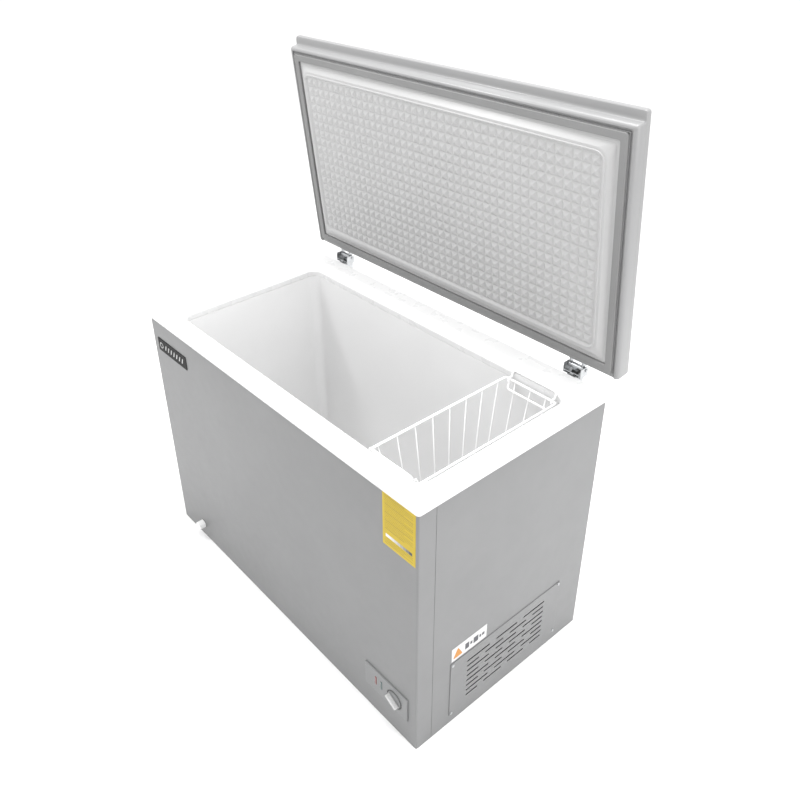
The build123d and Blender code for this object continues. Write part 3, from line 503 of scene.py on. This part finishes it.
def basket_wires():
    """Bent upright wires: down one wall, across the floor and up the other."""
    rim_low, rim_high = box("basket_rim_wire")
    base_low, base_high = box("basket_base_ring")
    wires = []
    top = (rim_low.z + rim_high.z) / 2 - 2.4 * MM
    floor = base_low.z - 0.6 * MM
    rim, base = 3 * MM, 2.2 * MM  # half the thickness of the two frames' wires
    across, along = 8, 3
    for i in range(across):
        share = (i + 0.5) / across * 2 - 1
        y_top = share * (rim_high.y - rim)
        y_low = share * (base_high.y - base)
        x0, x1 = rim_low.x + rim, rim_high.x - rim
        b0, b1 = base_low.x + base, base_high.x - base
        points = [(x0, y_top, top), (b0, y_low, floor), (b1, y_low, floor), (x1, y_top, top)]
        wires.append(tube("wire", rounded_line(points, BEND, 6), WIRE_R))
    for i in range(along):
        share = (i - 1) * 0.58
        x_top = (rim_low.x + rim_high.x) / 2 + share * (rim_high.x - rim_low.x) / 2
        x_low = (base_low.x + base_high.x) / 2 + share * (base_high.x - base_low.x) / 2
        y_top, y_low = rim_high.y - rim, base_high.y - base
        z = floor - 3.0 * MM
        points = [(x_top, -y_top, top), (x_low, -y_low, z), (x_low, y_low, z), (x_top, y_top, top)]
        wires.append(tube("wire", rounded_line(points, BEND, 6), WIRE_R))
    piece = join("basket_wires", wires)
    return dress(piece, M["wire"], "basket", [
        "basket_side_wires", "basket_end_wires", "basket_floor_cross_wires", "basket_floor_long_wires"])


# ---------------------------------------------------------------- seams of the steel body
def seam_strips():
    """Dark sealing strips, sunk into the joints between the steel panels."""
    front_low, front_high = box("front_panel")
    side_low, side_high = box("right_side_panel")
    rear_low, rear_high = box("rear_panel")
    sunk, thick, lap = 0.45 * MM, 0.4 * MM, MM / 2
    pieces = []
    for side in (-1, 1):
        outer = side * (side_high.x - sunk)
        x0, x1 = sorted((outer, outer - side * thick))
        pieces.append(slab("seam", x0, x1, front_high.y - lap, side_low.y + lap,
                           front_low.z, front_high.z))
        edge = side * rear_high.x
        x0, x1 = sorted((edge - side * lap, edge + side * 2 * MM))
        y1 = rear_high.y - sunk
        pieces.append(slab("seam", x0, x1, y1 - thick, y1, rear_low.z, rear_high.z))
    return dress(join("seam_strips", pieces), M["seal"], "cabinet")


# ---------------------------------------------------------------- dial
def turned(name, x, z, profile, closed, steps=48):
    """A shape turned round a line along Y; the profile lists radius and Y."""
    vertices = [(x + radius * math.cos(a), y, z + radius * math.sin(a))
                for radius, y in profile for a in [2 * math.pi * k / steps for k in range(steps)]]
    faces = loops_to_faces(steps, len(profile), closed)
    if not closed:
        faces += [tuple(range(steps)), tuple((len(profile) - 1) * steps + k for k in range(steps))]
    piece = new_object(name, vertices, faces)
    shade_by_angle(piece, 30)
    return piece


def dial():
    """A grey disc on its shaft, a light slanted grip bar and a thin dark ring of painted shade on the
    floor of the recess behind.
    """
    low, high = box("thermostat_knob")
    x, z = (low.x + high.x) / 2, (low.z + high.z) / 2
    radius, face = (high.x - low.x) / 2, low.y + 11 * MM
    edge = [(radius - 1.6 * MM, face), (radius - 0.5 * MM, face + 0.4 * MM), (radius, face + 1.6 * MM)]
    back = [(radius, face + 4 * MM), (3 * MM, face + 4 * MM), (3 * MM, high.y)]
    disc = turned("dial_disc", x, z, edge + back, False)
    dress(disc, M["panel"], "knob", ["thermostat_knob"])
    half, wide = 20.0 * MM, 4.4 * MM
    grip = slab("dial_grip", -half, half, low.y, face + 0.5 * MM, -wide, wide, 1.8 * MM)
    slant = Matrix.Rotation(math.radians(30), 4, "Y")
    grip.data.transform(Matrix.Translation((x, 0, z)) @ slant)
    dress(grip, M["knob"], "knob")
    # Painted shade: a thin dark ring laid on the floor of the recess round the dial, where the recess lies
    # in shade.
    recess = box("control_panel")[0].y + 1.4 * MM
    inner, outer, thin = 23 * MM, 25.9 * MM, 0.08 * MM
    ring = [(inner, recess), (outer, recess), (outer, recess + thin), (inner, recess + thin)]
    dress(turned("dial_recess_painted_shade", x, z, ring, True), M["seal"], "cabinet")


# ---------------------------------------------------------------- badge, label, sticker
def badge_mark():
    """A plain mark of the builder's own: a ring and a row of slanted bars."""
    low, high = box("badge_plate")
    middle = (low.z + high.z) / 2
    front = low.y
    circle = [2 * math.pi * k / 36 for k in range(36)]
    ring = [(low.x + 19 * MM + 8 * MM * math.cos(a), front, middle + 8 * MM * math.sin(a)) for a in circle]
    pieces = [tube("ring", ring, 1.4 * MM, closed=True)]
    bars, pitch, tall, slant = 7, 15.6 * MM, 8.0 * MM, 3 * MM
    for k in range(bars):
        bar = slab("bar", -2.5 * MM, 2.5 * MM, front - 0.5 * MM, front + 0.5 * MM, -tall, tall, 0.3 * MM)
        for v in bar.data.vertices:
            v.co.x += slant * v.co.z / tall + low.x + 43 * MM + k * pitch
            v.co.z += middle
        pieces.append(bar)
    return dress(join("badge_mark", pieces), M["silver"], "cabinet")


def label_print():
    """Ruled lines and a stepped grey bar printed on the yellow label."""
    low, high = box("energy_label")
    front = low.y
    ink = 0.12 * MM
    margin, width = 7 * MM, high.x - low.x
    rows, pitch = 30, 4.4 * MM
    bar_top, bar_end = 98 * MM, 118 * MM      # the lines leave room for the stepped bar here
    lines = []
    for k in range(rows):
        z = high.z - 6 * MM - k * pitch
        if bar_top < high.z - z < bar_end:
            continue
        left = low.x + margin
        right = left + width * (0.86 if k % 4 else 0.6)
        thick = 0.9 * MM if k % 5 == 0 else 0.45 * MM
        lines.append(slab("line", left, right, front - ink, front, z - thick, z + thick))
    dress(join("label_lines", lines), M["print"], "cabinet")
    steps, run = 9, 81 * MM
    middle, tall = high.z - 112 * MM, 4 * MM
    for k in range(steps):
        x0, x1 = (low.x + 9.5 * MM + run / steps * end for end in (k, k + 1))
        step = slab(f"label_bar_{k}", x0, x1, front - ink, front, middle - tall, middle + tall)
        shade = 0.75 - 0.7 * k / (steps - 1)
        tone = finish(f"label_bar_tone_{k}", (shade, shade, shade * 1.02), 0.5, grain=1500)
        dress(step, tone, "cabinet")


def sticker_print():
    """An amber triangle and a few plain bars on the white sticker."""
    low, high = box("side_sticker")
    face = high.x
    ink = 0.12 * MM
    z_mid = (low.z + high.z) / 2
    x0, x1 = face - ink, face + ink
    y, half = low.y + 20 * MM, 16 * MM
    corners = [(y - half, low.z + 7 * MM), (y + half, low.z + 7 * MM), (y, high.z - 6 * MM)]
    outline = rounded_line([(0, a, b) for a, b in corners], 3 * MM, 4, closed=True)
    count = len(outline)
    vertices = [(x, p.y, p.z) for x in (x0, x1) for p in outline]
    faces = loops_to_faces(count, 2, False) + [tuple(range(count)), tuple(range(count, 2 * count))]
    dress(new_object("sticker_triangle", vertices, faces, False), M["amber"], "cabinet")
    bars = []
    for start, length in ((44, 13), (61, 7), (72, 16), (92, 6), (101, 8)):
        tall = 11 if length > 10 else 6
        bars.append(slab("bar", x0, x1, low.y + start * MM, low.y + (start + length) * MM,
                         z_mid - tall * MM, z_mid + (tall - 3) * MM))
    dress(join("sticker_bars", bars), M["ink"], "cabinet")


# ---------------------------------------------------------------- stage
def stage():
    ground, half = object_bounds()[0][2], 14.0
    vertices = [(-half, -half, ground), (half, -half, ground), (half, half, ground), (-half, half, ground)]
    floor = new_object("floor", vertices, [(0, 1, 2, 3)])
    floor.data.materials.append(finish("pale_floor", (0.97, 0.97, 0.97), 0.8, vary=0.003, bump=0.0))
    floor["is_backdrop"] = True


def area_light(name, place, target, size, power):
    data = bpy.data.lights.new(name, "AREA")
    data.shape = "RECTANGLE"
    data.size, data.size_y = size
    data.energy = power
    lamp = bpy.data.objects.new(name, data)
    lamp.location = place
    lamp.rotation_euler = (Vector(target) - Vector(place)).to_track_quat("-Z", "Y").to_euler()
    bpy.context.scene.collection.objects.link(lamp)


def lights():
    world = bpy.data.worlds.new("studio")
    world.use_nodes = True
    background = world.node_tree.nodes["Background"]
    background.inputs["Color"].default_value = (1, 1, 1, 1)
    background.inputs["Strength"].default_value = 1.05
    bpy.context.scene.world = world
    area_light("key", (0.3, 0.2, 3.8), (0, 0, 0.6), (2.4, 2.0), 115)
    area_light("side", (3.6, 0.6, 1.6), (0.4, 0, 0.5), (2.4, 2.0), 50)
    area_light("front", (-1.6, -1.2, 3.0), (0, 0.3, 1.1), (0.5, 0.5), 26)


def camera():
    """Seen from the front right and above, at the height of a standing person."""
    azimuth, elevation, roll = math.radians(50.64), math.radians(30.87), math.radians(-1.48)
    back = Vector((math.sin(azimuth) * math.cos(elevation),
                   -math.cos(azimuth) * math.cos(elevation), math.sin(elevation)))
    right = Vector((0, 0, 1)).cross(back).normalized()
    up = back.cross(right)
    side = right * math.cos(roll) + up * math.sin(roll)
    top = up * math.cos(roll) - right * math.sin(roll)
    data = bpy.data.cameras.new("camera")
    data.sensor_width = 36.0
    data.lens = 37.06
    data.shift_x, data.shift_y = 0.0378, -0.0576
    eye = bpy.data.objects.new("camera", data)
    turn = Matrix((side, top, back)).transposed()
    eye.matrix_world = Matrix.Translation((1.4259, -1.1256, 1.8196)) @ turn.to_4x4()
    bpy.context.scene.collection.objects.link(eye)
    bpy.context.scene.camera = eye


bpy.context.scene.view_settings.view_transform = "Standard"
camera()
lights()
dress_cad()
top_rim()
lid_liner()
lid_skin()
basket_wires()
seam_strips()
dial()
badge_mark()
label_print()
sticker_print()
stage()
